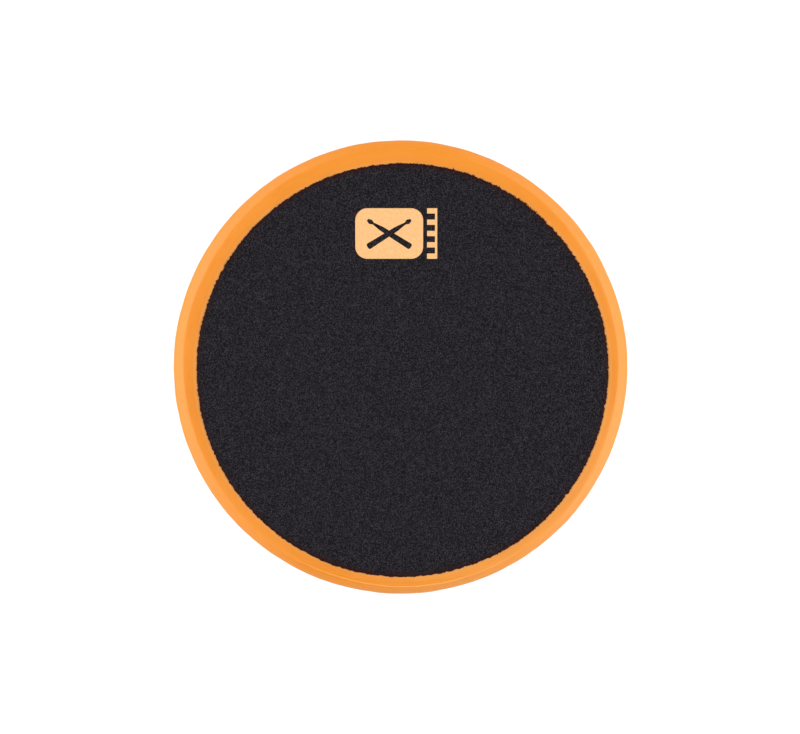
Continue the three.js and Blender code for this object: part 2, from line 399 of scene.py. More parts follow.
# Painted shade: the rim of the cloth is painted darker and warmer towards its cut edge.
RIM_WIDTH = 2.2 * MM
reach = add(tree, "VectorMath", {0: in_yarns.outputs["Vector"]}, operation="LENGTH")
painted_shade = add(
    tree,
    "MapRange",
    {
        "Value": reach.outputs["Value"],
        "From Min": (CLOTH_RADIUS - RIM_WIDTH) / YARN,
        "From Max": CLOTH_RADIUS / YARN,
        "To Max": 0.9,
    },
)
painted_shade = add(tree, "Math", {0: painted_shade.outputs[0], 1: 1.4}, operation="POWER")
for mask, tone in ((worn, "#1b181d"), (painted_shade, "#2e0d06")):
    colour = add(
        tree,
        "Mix",
        {MIX_FACTOR: mask.outputs[0], MIX_A: colour.outputs[MIX_RESULT], MIX_B: linear(tone)},
        data_type="RGBA",
    )
tree.links.new(colour.outputs[MIX_RESULT], shader.inputs["Base Color"])
relief = add(tree, "Bump", {"Height": lint.outputs["Fac"], "Strength": 0.5, "Distance": 0.05 * MM})
tree.links.new(relief.outputs["Normal"], shader.inputs["Normal"])
shader.inputs["Sheen Weight"].default_value = 0.03
shader.inputs["Sheen Roughness"].default_value = 0.5
shader.inputs["Specular IOR Level"].default_value = 0.1
print(f"the soaked rim is {RIM_WIDTH / MM:.1f} mm wide")

# %% [markdown]
# The mark is screen printed: a thin coat of pale orange ink that follows the yarns. The coat is uneven,
# so the black cloth shadows through a little where it is thin, and its surface is matt. Printing it
# in the cloth's own material would be simpler, but a separate coat has a real edge and thickness.

# %% Printed ink
PRINT_INK, tree, shader, place = new_material("screen_printed_ink", roughness=0.7)
coat = add(tree, "TexNoise", {"Vector": place, "Scale": per_mm(0.7), "Detail": 3.0})
thin = add(
    tree, "MapRange", {"Value": coat.outputs["Fac"], "From Min": 0.35, "From Max": 0.7, "To Max": 1.0}
)
colour = add(
    tree,
    "Mix",
    {MIX_FACTOR: thin.outputs[0], MIX_A: linear("#fbb873"), MIX_B: linear("#ffc88c")},
    data_type="RGBA",
)
tree.links.new(colour.outputs[MIX_RESULT], shader.inputs["Base Color"])
relief = add(tree, "Bump", {"Height": coat.outputs["Fac"], "Strength": 0.3, "Distance": 0.05 * MM})
tree.links.new(relief.outputs["Normal"], shader.inputs["Normal"])

# %% [markdown]
# The base ring is a black non-slip rubber with a coarse, matt skin. One fine noise drives both the
# tone and the relief, so the skin is darker in its hollows and paler on its high spots.

# %% Black base rubber
BLACK_RUBBER, tree, shader, place = new_material("black_nonslip_rubber", roughness=0.85)
skin_relief = add(tree, "TexNoise", {"Vector": place, "Scale": per_mm(1.2), "Detail": 5.0})
colour = add(
    tree,
    "Mix",
    {MIX_FACTOR: skin_relief.outputs["Fac"], MIX_A: linear("#151516"), MIX_B: linear("#2b2b2d")},
    data_type="RGBA",
)
tree.links.new(colour.outputs[MIX_RESULT], shader.inputs["Base Color"])
relief = add(tree, "Bump", {"Height": skin_relief.outputs["Fac"], "Strength": 0.4, "Distance": 0.1 * MM})
tree.links.new(relief.outputs["Normal"], shader.inputs["Normal"])

# %% [markdown]
# The insert and its screws are steel with a bright zinc plating: a cool, slightly blue silver, with
# cloudy changes of tint and gloss from the bath. Its metallic is 1 and its roughness about 0.3, and the
# clouds are 3 mm across, the size of the blotches on a plated part.

# %% Zinc-plated steel
ZINC_STEEL, tree, shader, place = new_material("zinc_plated_steel", roughness=0.3, metallic=1.0)
cloud = add(tree, "TexNoise", {"Vector": place, "Scale": per_mm(3), "Detail": 4.0})
colour = add(
    tree,
    "Mix",
    {MIX_FACTOR: cloud.outputs["Fac"], MIX_A: linear("#b4bac2"), MIX_B: linear("#cfcdc4")},
    data_type="RGBA",
)
tree.links.new(colour.outputs[MIX_RESULT], shader.inputs["Base Color"])
gloss = add(
    tree,
    "MapRange",
    {"Value": cloud.outputs["Fac"], "From Min": 0.3, "From Max": 0.7, "To Min": 0.22, "To Max": 0.42},
)
tree.links.new(gloss.outputs[0], shader.inputs["Roughness"])

# %% [markdown]
# ## Materials of the pieces inside
#
# The board is medium-density fibre board, pressed from fine wood fibres, with darker flecks. A noise
# with a lot of detail and some distortion gives short, tangled flecks, where a wood grain of rings
# would be wrong, because the fibres lie in all directions.

# %% Fibre board
FIBRE_BOARD, tree, shader, place = new_material("fibre_board", roughness=0.85)
fibres = add(
    tree,
    "TexNoise",
    {"Vector": place, "Scale": per_mm(1.0), "Detail": 6.0, "Roughness": 0.7, "Distortion": 0.6},
)
colour = add(
    tree,
    "Mix",
    {MIX_FACTOR: fibres.outputs["Fac"], MIX_A: linear("#8c6a45"), MIX_B: linear("#c09a6c")},
    data_type="RGBA",
)
tree.links.new(colour.outputs[MIX_RESULT], shader.inputs["Base Color"])
relief = add(tree, "Bump", {"Height": fibres.outputs["Fac"], "Strength": 0.3, "Distance": 0.08 * MM})
tree.links.new(relief.outputs["Normal"], shader.inputs["Normal"])

# %% [markdown]
# The foam is a dark closed-cell sheet, and its cut side shows small bubbles. A Voronoi pattern is made
# of round cells, so its distance gives both the tone and the hollow of each bubble.

# %% Closed-cell foam
CELL_FOAM, tree, shader, place = new_material("closed_cell_foam", roughness=0.95)
cells = add(tree, "TexVoronoi", {"Vector": place, "Scale": per_mm(0.8)})
colour = add(
    tree,
    "Mix",
    {MIX_FACTOR: cells.outputs["Distance"], MIX_A: linear("#2c2c2e"), MIX_B: linear("#48484b")},
    data_type="RGBA",
)
tree.links.new(colour.outputs[MIX_RESULT], shader.inputs["Base Color"])
relief = add(tree, "Bump", {"Height": cells.outputs["Distance"], "Strength": 0.6, "Distance": 0.2 * MM})
tree.links.new(relief.outputs["Normal"], shader.inputs["Normal"])

# %% [markdown]
# The adhesive films are double-sided tape: milky, smooth, and a little streaky from the coating. Tape
# lets some light through, but it lies between dark pieces and only its edge could be seen, so an opaque
# film looks the same.

# %% Adhesive film
ADHESIVE, tree, shader, place = new_material("adhesive_film", roughness=0.35)
streaks = add(tree, "TexNoise", {"Vector": place, "Scale": per_mm(4), "Detail": 3.0})
colour = add(
    tree,
    "Mix",
    {MIX_FACTOR: streaks.outputs["Fac"], MIX_A: linear("#cdc6b4"), MIX_B: linear("#e4dfd2")},
    data_type="RGBA",
)
tree.links.new(colour.outputs[MIX_RESULT], shader.inputs["Base Color"])

# %% [markdown]
# The board and three of the films are flat discs with square edges, just as the frame has them. They
# could be modelled again, but nothing would be gained, so they keep their shape and only get their
# finish.

# %% Finish the pieces that keep their shape
CARRIED_OVER = {
    "skin_bond_film": ADHESIVE,
    "foam_bond_film": ADHESIVE,
    "base_bond_film": ADHESIVE,
    "base_board": FIBRE_BOARD,
}
for node, material in CARRIED_OVER.items():
    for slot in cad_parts[node].material_slots:
        slot.material = material
print("frame pieces with new materials:", ", ".join(CARRIED_OVER))

# %% [markdown]
# ## Helpers for modelling
#
# An operator acts on whatever is selected, so each step starts from a clean selection, and a pick
# function selects by place.

# %% Select and edit
def select_only(piece):
    """Makes the piece the only selected object, and the active one."""
    bpy.ops.object.select_all(action="DESELECT")
    piece.select_set(True)
    bpy.context.view_layer.objects.active = piece


def select_whole():
    """In edit mode, selects all of the piece."""
    bpy.ops.mesh.select_all(action="SELECT")


def start_edit(piece):
    """Selects the piece alone and enters edit mode with nothing picked."""
    select_only(piece)
    bpy.ops.object.mode_set(mode="EDIT")
    bpy.ops.mesh.select_mode(type="VERT")
    bpy.ops.mesh.select_all(action="DESELECT")


def end_edit():
    bpy.ops.object.mode_set(mode="OBJECT")


def pick(piece, kind, test):
    """In edit mode, selects the vertices, edges or faces whose middle passes the test."""
    bpy.ops.mesh.select_mode(type=kind)
    bpy.ops.mesh.select_all(action="DESELECT")
    mesh = bmesh.from_edit_mesh(piece.data)
    if kind == "VERT":
        found = [v for v in mesh.verts if test(v.co)]
    elif kind == "EDGE":
        found = [e for e in mesh.edges if test((e.verts[0].co + e.verts[1].co) / 2)]
    else:
        found = [f for f in mesh.faces if test(f.calc_center_median())]
    for item in found:
        item.select_set(True)
    mesh.select_flush_mode()
    bmesh.update_edit_mesh(piece.data)
    return len(found)


# %% [markdown]
# Most pieces here are turned: their shape is one section, swept round the middle. The section is drawn
# as by hand, by extruding a point from corner to corner. Each corner is rounded with a vertex bevel
# while the section is still flat, because one corner of the section becomes a whole edge round the
# piece. Then the face is dropped and the outline is spun.

# %% Draw and turn
def start_point(name):
    """A piece of one point at the origin: a small plane merged into its middle."""
    bpy.ops.object.select_all(action="DESELECT")
    bpy.ops.mesh.primitive_plane_add(size=MM)
    piece = bpy.context.object
    piece.name = name
    start_edit(piece)
    select_whole()
    bpy.ops.mesh.merge(type="CENTER")
    return piece


def draw(points):
    """Draws an outline by extruding the piece's one point from place to place, and closes its face."""
    bpy.ops.transform.translate(value=points[0])
    for last, point in zip(points, points[1:]):
        bpy.ops.mesh.extrude_vertices_move(TRANSFORM_OT_translate={"value": point - last})
    select_whole()
    bpy.ops.mesh.edge_face_add()


def drop_faces():
    """Deletes the faces of the piece and keeps its edges."""
    bpy.ops.mesh.select_mode(type="FACE")
    select_whole()
    bpy.ops.mesh.delete(type="ONLY_FACE")


def turn(name, section, rounds=(), steps=ROUND_STEPS):
    """Turns a section of (radius, height) corners; rounds are (corner, radius, segments)."""
    piece = start_point(name)
    draw([Vector((radius, 0, height)) for radius, height in section])
    for (radius, height), amount, segments in rounds:
        corner = Vector((radius, 0, height))
        pick(piece, "VERT", lambda co: (co - corner).length < 1e-6)
        bpy.ops.mesh.bevel(offset=amount, segments=segments, affect="VERTICES")
    drop_faces()
    if pick(piece, "EDGE", lambda co: co.x < 1e-7):  # an edge on the axis would turn into a spike
        bpy.ops.mesh.delete(type="EDGE")
    bpy.ops.mesh.select_mode(type="VERT")
    select_whole()
    bpy.ops.mesh.spin(steps=steps, angle=math.tau, center=(0, 0, 0), axis=(0, 0, 1))
    select_whole()
    bpy.ops.mesh.remove_doubles(threshold=1e-7)
    bpy.ops.mesh.normals_make_consistent(inside=False)
    end_edit()
    return piece


# %% [markdown]
# The last helpers smooth the shading, apply a modifier, cut one piece with another, and hand a piece
# over with its material.

# %% Shade, cut and hand over
def smooth(piece, degrees=35):
    """Smooth shading that keeps edges sharper than the angle."""
    select_only(piece)
    bpy.ops.object.shade_smooth_by_angle(angle=math.radians(degrees))


def apply(piece, kind, **settings):
    """Adds a modifier with its settings and applies it at once."""
    select_only(piece)
    modifier = piece.modifiers.new(kind.lower(), kind)
    for key, value in settings.items():
        setattr(modifier, key, value)
    bpy.ops.object.modifier_apply(modifier=modifier.name)


def cut(piece, tool):
    """Cuts the tool out of the piece, removes the tool and merges the slivers that the cut left."""
    apply(piece, "BOOLEAN", object=tool, operation="DIFFERENCE", solver="EXACT")
    bpy.data.objects.remove(tool)
    start_edit(piece)
    select_whole()
    bpy.ops.mesh.remove_doubles(threshold=2e-6)
    bpy.ops.mesh.dissolve_degenerate(threshold=2e-6)
    end_edit()


def finish_piece(piece, material, slot, *nodes):
    """Gives a piece its material, sets it under the root body and hides the frame nodes it stands for.
    """
    piece.data.materials.clear()
    piece.data.materials.append(material)
    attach(piece, "root")
    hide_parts(*nodes)
    print(f"{piece.name}: {len(piece.data.polygons)} faces")


# %% [markdown]
# ## The rubber shell
#
# From the cloth outwards the shell runs flat to a crisp crease, drops in a bevel and turns into a side
# that bulges a little. Half-way down runs the faint line where the two halves of the mould met.
# Underneath, a lip holds the board. It could be built from a cylinder by insets and bevels, but every
# corner lies on one section, so drawing the section and turning it keeps all the sizes in one list.
# The bulge is part of a sine, so its points come from a formula; the other corners are rounded after
# drawing.

# %% Shell section
BOARD_LOW, BOARD_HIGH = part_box("base_board")
top = SHELL_HIGH.z
foot = SHELL_LOW.z
CREASE = (CREASE_RADIUS, top)
BEVEL_FOOT = (75.75 * MM, top - 2.8 * MM)
SIDE_TOP = (OUTER_RADIUS - 0.32 * MM, top - 6.5 * MM)
SIDE_FOOT = (OUTER_RADIUS - 0.35 * MM, foot + 4.2 * MM)
LIP_RADIUS = 66 * MM
CAVITY_RADIUS = BOARD_HIGH.x + 0.25 * MM
SKIN_UNDERSIDE = top - 3.5 * MM
SIDE_POINTS = 7
MOULD_LINE = [(0.49, 0), (0.4965, 0.09 * MM), (0.5035, 0.09 * MM), (0.51, 0)]  # (share, height)

section = [(0, top), (CLOTH_RADIUS, top), CREASE, BEVEL_FOOT]
shares = [(i / SIDE_POINTS, 0) for i in range(SIDE_POINTS + 1)]
for share, raised in sorted(shares + MOULD_LINE):
    bulge = 0.2 * MM * math.sin(math.pi * share) + raised
    radius = SIDE_TOP[0] + share * (SIDE_FOOT[0] - SIDE_TOP[0]) + bulge
    section.append((radius, SIDE_TOP[1] + share * (SIDE_FOOT[1] - SIDE_TOP[1])))
FOOT_CORNER = (OUTER_RADIUS - 1.1 * MM, foot)
INNER_LIP = (LIP_RADIUS, foot)
section += [
    FOOT_CORNER,
    INNER_LIP,
    (LIP_RADIUS, BOARD_LOW.z),
    (CAVITY_RADIUS, BOARD_LOW.z),
    (CAVITY_RADIUS, SKIN_UNDERSIDE),
    (0, SKIN_UNDERSIDE),
]
print(len(section), "corners in the shell's section")

# %% [markdown]
# The cup is seen from close by, so it is turned in more steps than the other pieces. The rounds are
# small at the crisp crease and larger at the soft foot of the bevel.

# %% Turn the shell
shell = turn(
    "shell",
    section,
    rounds=[
        (CREASE, 0.4 * MM, 4),
        (BEVEL_FOOT, 1.2 * MM, 6),
        (FOOT_CORNER, 2.2 * MM, 6),
        (INNER_LIP, 0.5 * MM, 3),
    ],
    steps=ROUND_STEPS * 3 // 2,
)

# %% [markdown]
# A moulded rubber skin is never perfectly even. Moving points by hand would be slow, so a displace
# modifier with a slow cloud pattern moves the outer skin by a tenth of a millimetre or so. The inner
# walls stay true, because a vertex group holds only the outer skin.

# %% Uneven skin
def is_outer(co):
    return co.z > SKIN_UNDERSIDE + MM or math.hypot(co.x, co.y) > CAVITY_RADIUS + MM


outer_skin = shell.vertex_groups.new(name="outer_skin")
outer_points = [v.index for v in shell.data.vertices if is_outer(v.co)]
outer_skin.add(outer_points, 1.0, "REPLACE")
uneven = bpy.data.textures.new("uneven_skin", "CLOUDS")
uneven.noise_scale = 7 * MM
apply(
    shell,
    "DISPLACE",
    texture=uneven,
    strength=0.3 * MM,
    mid_level=0.5,
    vertex_group=outer_skin.name,
)
print(f"outer skin: {len(outer_points)} points moved")

# %% [markdown]
# The crease also wanders in and out by up to about 0.6 mm, because the soft rubber shrank unevenly as
# it cooled. A modifier would move the flat shoulder too, so only the points of the crease's round are
# moved in code, outwards from the middle.

# %% Wandering crease
SHRINKAGE_PLACE = Vector((24.5, 21.4, 27.4))  # which stretch of the noise gives the shrinkage


def crease_wander(angle):
    """How far the crease strays outwards at an angle round the pad."""
    around = Vector((math.cos(angle), math.sin(angle), 0))
    shrinkage = noise.noise(around * 1.8 + SHRINKAGE_PLACE)
    near_side = max(0.0, -around.y) ** 3
    return MM * (0.8 * shrinkage + 0.4 * near_side)


def move_outwards(vertex, distance):
    """Moves a point of a mesh away from the middle of its piece, along the table."""
    stretch = 1 + distance / math.hypot(vertex.co.x, vertex.co.y)
    vertex.co.x *= stretch
    vertex.co.y *= stretch


def angle_of(vertex):
    return math.atan2(vertex.co.y, vertex.co.x)


strays = []
for vertex in shell.data.vertices:
    radius = math.hypot(vertex.co.x, vertex.co.y)
    if abs(radius - CREASE_RADIUS) < 0.9 * MM and vertex.co.z > SKIN_UNDERSIDE + MM:
        strays.append(crease_wander(angle_of(vertex)))
        move_outwards(vertex, strays[-1])
print(f"the crease strays from {min(strays) / MM:.2f} to {max(strays) / MM:.2f} mm")
smooth(shell, 50)
finish_piece(shell, ORANGE_RUBBER, "orange_rubber", "rubber_shell")

# %% [markdown]
# ## The playing cloth
#
# The cloth is one flat disc of plain weave. Its height comes from the weave: high where one yarn passes
# over, low where it dives under. Real yarn is uneven, so a noise gives each place its own height too.
# The heights are a function of the place, because the ink is laid on them later.

# %% Weave height
SLUB = 0.42 * MM  # spacing of the uneven places in the yarns, and of the lines in the cloth's mesh
WEAVE_DEPTH = 0.09 * MM
EDGE_ROLL = 0.9 * MM  # the cut edge bends down over this width
CLOTH_FACE = CLOTH_HIGH.z - WEAVE_DEPTH


def weave_height(x, y):
    """The height of the cloth's upper face at a place."""
    u = (x - CLOTH_SHIFT.x) / SLUB
    v = (y - CLOTH_SHIFT.y) / SLUB
    crossing = math.cos(math.pi * u) * math.cos(math.pi * v)
    slub = noise.noise(Vector((u * 0.7, v * 0.7, 3.1)))
    swell = noise.noise(Vector((u * 0.06, v * 0.06, 7.7)))
    return CLOTH_FACE + WEAVE_DEPTH * (0.3 * crossing + 0.6 * slub + 0.15 * swell)


print(f"weave at the middle: {weave_height(0, 0) / MM:.3f} mm above the table")

# %% [markdown]
# A disc could be a filled circle, but its faces would all meet in the middle and could hold no weave.
# So the cloth is a grid whose lines run along the yarns. It is cut round, its outer points are drawn
# onto a circle, and its rim is extruded down to give it its thickness.

# %% Cut the cloth from a grid
cells_across = 2 * math.ceil(CLOTH_RADIUS / SLUB) + 2
bpy.ops.object.select_all(action="DESELECT")
bpy.ops.mesh.primitive_grid_add(
    x_subdivisions=cells_across, y_subdivisions=cells_across, size=cells_across * SLUB
)
cloth = bpy.context.object
cloth.name = "cloth"
start_edit(cloth)
pick(cloth, "VERT", lambda co: co.length > CLOTH_RADIUS - 0.4 * SLUB)
bpy.ops.mesh.delete(type="VERT")
select_whole()
bpy.ops.mesh.region_to_loop()
bpy.ops.transform.tosphere(value=1.0)
rim = [v.co.length for v in bmesh.from_edit_mesh(cloth.data).verts if v.select]
grow = CLOTH_RADIUS / (sum(rim) / len(rim))
bpy.ops.transform.resize(value=(grow, grow, 1))
bpy.ops.mesh.extrude_edges_move()
bpy.ops.transform.translate(value=(0, 0, CLOTH_LOW.z - CLOTH_FACE))
bpy.ops.mesh.edge_face_add()
end_edit()
print(len(cloth.data.polygons), "faces in the cloth")

# %% [markdown]
# Scissors leave a slightly wandering edge, and a cut cloth is pressed down there by its adhesive, so
# the outermost millimetre bends towards the rubber. Both are moves of the grid's own points, because
# a separate rim would show a seam.

# %% Weave the face and roll the edge
ROLL_DEPTH = 0.3 * MM
DRIFT, SNIPS, RAGS = (0.14, 2.2), (0.12, 30), (0.36, 95)  # how far in mm, and how often round the edge
OVAL = 0.18  # mm that the disc is stretched along Y
TRIMMED = 0.1  # mm that the disc was cut short


def edge_wander(angle):
    """How far the cut edge strays outwards from a true circle."""
    around = Vector((math.cos(angle), math.sin(angle), 0))
    stray = sum(reach * noise.noise(around * often) for reach, often in (DRIFT, SNIPS, RAGS))
    return MM * (stray - OVAL * math.cos(2 * angle) - TRIMMED)


for vertex in cloth.data.vertices:
    upper = vertex.co.z > -1e-7
    radius = math.hypot(vertex.co.x, vertex.co.y)
    nearness = max(0.0, 1 - (CLOTH_RADIUS - radius) / EDGE_ROLL)
    if nearness > 0:
        move_outwards(vertex, nearness * edge_wander(angle_of(vertex)))
    vertex.co += CLOTH_SHIFT
    if upper:
        vertex.co.z = weave_height(vertex.co.x, vertex.co.y) - ROLL_DEPTH * nearness**2
    else:
        vertex.co.z = CLOTH_LOW.z
smooth(cloth, 60)
finish_piece(cloth, BLACK_CLOTH, "black_cloth", "playing_cloth")

# %% [markdown]
# The film under the cloth was cut with it, so it has moved with it, and it stops just short of the
# cloth's edge, where the cloth is rolled over it. The frame's own film is in the middle and as wide as
# the cloth, so it would show beside the shifted cloth. A new one is turned like the shell.

# %% Bond film under the cloth
FILM_LOW, FILM_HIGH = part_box("cloth_bond_film")
FILM_RADIUS = CLOTH_RADIUS - 0.5 * MM
film = turn(
    "cloth_film",
    [(0, FILM_HIGH.z), (FILM_RADIUS, FILM_HIGH.z), (FILM_RADIUS, FILM_LOW.z), (0, FILM_LOW.z)],
    rounds=[((FILM_RADIUS, FILM_HIGH.z), 0.1 * MM, 2)],
    steps=ROUND_STEPS // 2,
)
film.data.transform(Matrix.Translation(CLOTH_SHIFT))
smooth(film, 40)
finish_piece(film, ADHESIVE, "adhesive", "cloth_bond_film")

# %% [markdown]
# Where the scissors ran across the weave, yarn ends stand out over the rubber. Hair particles could
# give them, but a few hundred real stalks export as they are. One yarn end is modelled, thin and
# five-sided, so that hundreds of copies stay light, and it narrows and droops towards its tip.

# %% Model one yarn end
YARN_END = 0.6 * MM
bpy.ops.object.select_all(action="DESELECT")
bpy.ops.mesh.primitive_cylinder_add(vertices=5, radius=0.13 * MM, depth=YARN_END)
yarn_end = bpy.context.object
start_edit(yarn_end)
select_whole()
bpy.ops.transform.translate(value=(0, 0, YARN_END / 2))
for share in (0.35, 0.7):
    select_whole()
    bpy.ops.mesh.bisect(plane_co=(0, 0, share * YARN_END), plane_no=(0, 0, 1))
pick(yarn_end, "VERT", lambda co: co.z > 0.6 * YARN_END)
bpy.ops.transform.translate(value=(0.05 * MM, 0, 0))
pick(yarn_end, "VERT", lambda co: co.z > 0.9 * YARN_END)
bpy.ops.transform.resize(value=(0.45, 0.45, 1))
bpy.ops.transform.translate(value=(0.1 * MM, 0, 0))
end_edit()
print(f"one yarn end: {YARN_END / MM} mm long, {len(yarn_end.data.polygons)} faces")

# %% [markdown]
# The stalks are rooted in the wandering edge, each with its own length, width and lie. They are denser
# and longer at the far right, where the cloth frayed most. The seed keeps them the same each time.

# %% Places of the yarn ends
YARN_ENDS = 620
MOST_FRAYED = math.radians(65)
random.seed(14)


def fray_chance(angle):
    """How likely the edge has a yarn end here: most at the far right, least on the other side."""
    return 0.3 + 0.7 * max(0.0, math.cos(angle - MOST_FRAYED)) ** 5


def outward_matrix(angle):
    """Turns and sizes a yarn end so that it starts in the cloth's edge and lies outward."""
    length = random.uniform(0.3, 0.5 + 0.85 * fray_chance(angle))
    width = random.uniform(0.45, 1.0)
    swing = math.radians(random.gauss(0, 28))
    dip = math.radians(random.uniform(80, 104))
    root = CLOTH_RADIUS + edge_wander(angle) - random.uniform(0.15, 0.35) * MM
    place = CLOTH_SHIFT + Vector((root * math.cos(angle), root * math.sin(angle), 0))
    place.z = random.uniform(CLOTH_LOW.z + 0.15 * MM, CLOTH_HIGH.z - 0.35 * MM)
    return (
        Matrix.Translation(place)
        @ Matrix.Rotation(angle + swing, 4, "Z")
        @ Matrix.Rotation(dip, 4, "Y")
        @ Matrix.Diagonal((width, width, length, 1))
    )


places = []
while len(places) < YARN_ENDS:
    angle = random.uniform(0, math.tau)
    if random.random() < fray_chance(angle):
        places.append(outward_matrix(angle))
print(len(places), "yarn ends")

# %% [markdown]
# Six hundred separate objects would be slow and hard to handle, so the copies go into one mesh.

# %% Set the yarn ends round the edge
def copies(name, model, matrices):
    """One piece that holds a copy of the model at each matrix; the model is removed."""
    mesh = bmesh.new()
    for matrix in matrices:
        start = len(mesh.verts)
        mesh.from_mesh(model.data)
        mesh.verts.ensure_lookup_table()
        for vertex in mesh.verts[start:]:
            vertex.co = matrix @ vertex.co
    piece = bpy.data.objects.new(name, bpy.data.meshes.new(name))
    mesh.to_mesh(piece.data)
    mesh.free()
    bpy.context.scene.collection.objects.link(piece)
    bpy.data.objects.remove(model)
    return piece


fray = copies("frayed_edge", yarn_end, places)
smooth(fray, 60)
finish_piece(fray, BLACK_CLOTH, "black_cloth")

# %% [markdown]
# ## The printed mark
#
# The mark is a badge with two crossed drumsticks left blank, and a small scale of ticks beside it.
# A flat plate would sink into the yarns at some places and float over others. So each outline is given
# a thickness, sliced along the weave's lines and laid on the yarns, and the ink rises and dips with
# the cloth.

# %% Ink helpers
INK = 0.09 * MM  # thick enough to cover the yarns wholly
BADGE_LOW, BADGE_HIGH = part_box("printed_badge")
TICKS_LOW, TICKS_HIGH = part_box("printed_ticks")


def plate(name, corners, rounds, low, high):
    """A flat plate from an outline of (x, y) corners; rounds are (corner index, radius, segments)."""
    piece = start_point(name)
    points = [Vector((x, y, low)) for x, y in corners]
    draw(points)
    for index, amount, segments in rounds:
        pick(piece, "VERT", lambda co: (co - points[index]).length < 1e-6)
        bpy.ops.mesh.bevel(offset=amount, segments=segments, affect="VERTICES")
    bpy.ops.mesh.select_mode(type="FACE")
    select_whole()
    bpy.ops.mesh.extrude_region_move(TRANSFORM_OT_translate={"value": (0, 0, high - low)})
    select_whole()
    bpy.ops.mesh.normals_make_consistent(inside=False)
    end_edit()
    return piece


def lay_on_weave(piece):
    """Slices a plate along the cloth's grid lines and moves it onto the yarns."""
    low, high = Vector(piece.bound_box[0]), Vector(piece.bound_box[6])
    start_edit(piece)
    for axis, direction in ((0, (1, 0, 0)), (1, (0, 1, 0))):
        first = math.ceil((low[axis] - CLOTH_SHIFT[axis]) / SLUB)
        last = math.floor((high[axis] - CLOTH_SHIFT[axis]) / SLUB)
        for line in range(first, last + 1):
            on_line = Vector((0, 0, 0))
            on_line[axis] = CLOTH_SHIFT[axis] + line * SLUB
            select_whole()
            bpy.ops.mesh.bisect(plane_co=on_line, plane_no=direction)
    end_edit()
    middle = (low.z + high.z) / 2
    for vertex in piece.data.vertices:
        lift = INK if vertex.co.z > middle else -INK / 2
        vertex.co.z = weave_height(vertex.co.x, vertex.co.y) + lift


# %% [markdown]
# The badge is a plate with rounded corners. The sticks are gaps in the ink, so each is drawn as a plate
# of its own, from a list of places along it and half widths there, and cut out of the badge.

# %% Print the badge
CORNER_ROUND = 4 * MM
STICK_LENGTH = 17 * MM
BUTT_ROUND = 0.7 * MM
LEAN = math.radians(32)
STICK_SIDE = [(-0.5, 1.05), (0.17, 0.8), (0.37, 0.35), (0.43, 0.85), (0.5, 0.4)]  # (share, mm)

x0, y0, x1, y1 = BADGE_LOW.x, BADGE_LOW.y, BADGE_HIGH.x, BADGE_HIGH.y
badge = plate(
    "badge",
    [(x0, y0), (x1, y0), (x1, y1), (x0, y1)],
    [(corner, CORNER_ROUND, 8) for corner in range(4)],
    CLOTH_HIGH.z,
    BADGE_HIGH.z,
)
badge_middle = (BADGE_LOW + BADGE_HIGH) / 2
for lean in (LEAN, math.pi - LEAN):
    along = Vector((math.cos(lean), math.sin(lean), 0))
    side = Vector((-along.y, along.x, 0))
    outline = [
        badge_middle + share * STICK_LENGTH * along + half * MM * side
        for share, half in STICK_SIDE + [(share, -half) for share, half in reversed(STICK_SIDE)]
    ]
    stick = plate(
        "stick",
        [(point.x, point.y) for point in outline],
        [(0, BUTT_ROUND, 4), (len(outline) - 1, BUTT_ROUND, 4)],
        CLOTH_HIGH.z - MM,
        BADGE_HIGH.z + MM,
    )
    cut(badge, stick)
lay_on_weave(badge)
smooth(badge, 50)
finish_piece(badge, PRINT_INK, "print_ink", "printed_badge")

# %% [markdown]
# The scale is one comb: a spine with five bars. Its outline is drawn in one go, down the comb's teeth,
# so that the bars and the spine are one coat of ink with no overlap.

# %% Print the scale of ticks
TICK_COUNT = 5
TICK_BAR = 1.75 * MM
SPINE = 0.75 * MM
x0, y0, x1, y1 = TICKS_LOW.x, TICKS_LOW.y, TICKS_HIGH.x, TICKS_HIGH.y
step = (y1 - y0 - TICK_BAR) / (TICK_COUNT - 1)
outline = [(x1, y0), (x1, y1)]
for i in reversed(range(TICK_COUNT)):
    low = y0 + i * step
    outline += [(x0, low + TICK_BAR), (x0, low)]
    if i > 0:
        outline += [(x1 - SPINE, low), (x1 - SPINE, low - step + TICK_BAR)]
ticks = plate("ticks", outline, [], CLOTH_HIGH.z, TICKS_HIGH.z)
lay_on_weave(ticks)
smooth(ticks, 50)
finish_piece(ticks, PRINT_INK, "print_ink", "printed_ticks")

# %% [markdown]
# ## The base
#
# The base is a ring of black rubber with concentric ribs, as on a non-slip mat, and a rounded edge.
# The ribs could be a pattern in the material, but a low lamp shows their walls, so they are real. The
# ring's section is turned like the shell's, and a loop adds the grooves to it.

# %% Ribbed base ring
BASE_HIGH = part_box("grip_base")[1]
RIB_STEP = 3.2 * MM
GROOVE_WIDTH = 1.2 * MM
GROOVE_DEPTH = 0.45 * MM
GROOVE_WALL = 0.2 * MM  # how far each wall of a groove slopes
BASE_RADIUS = BASE_HIGH.x
OPENING_RADIUS = 17 * MM

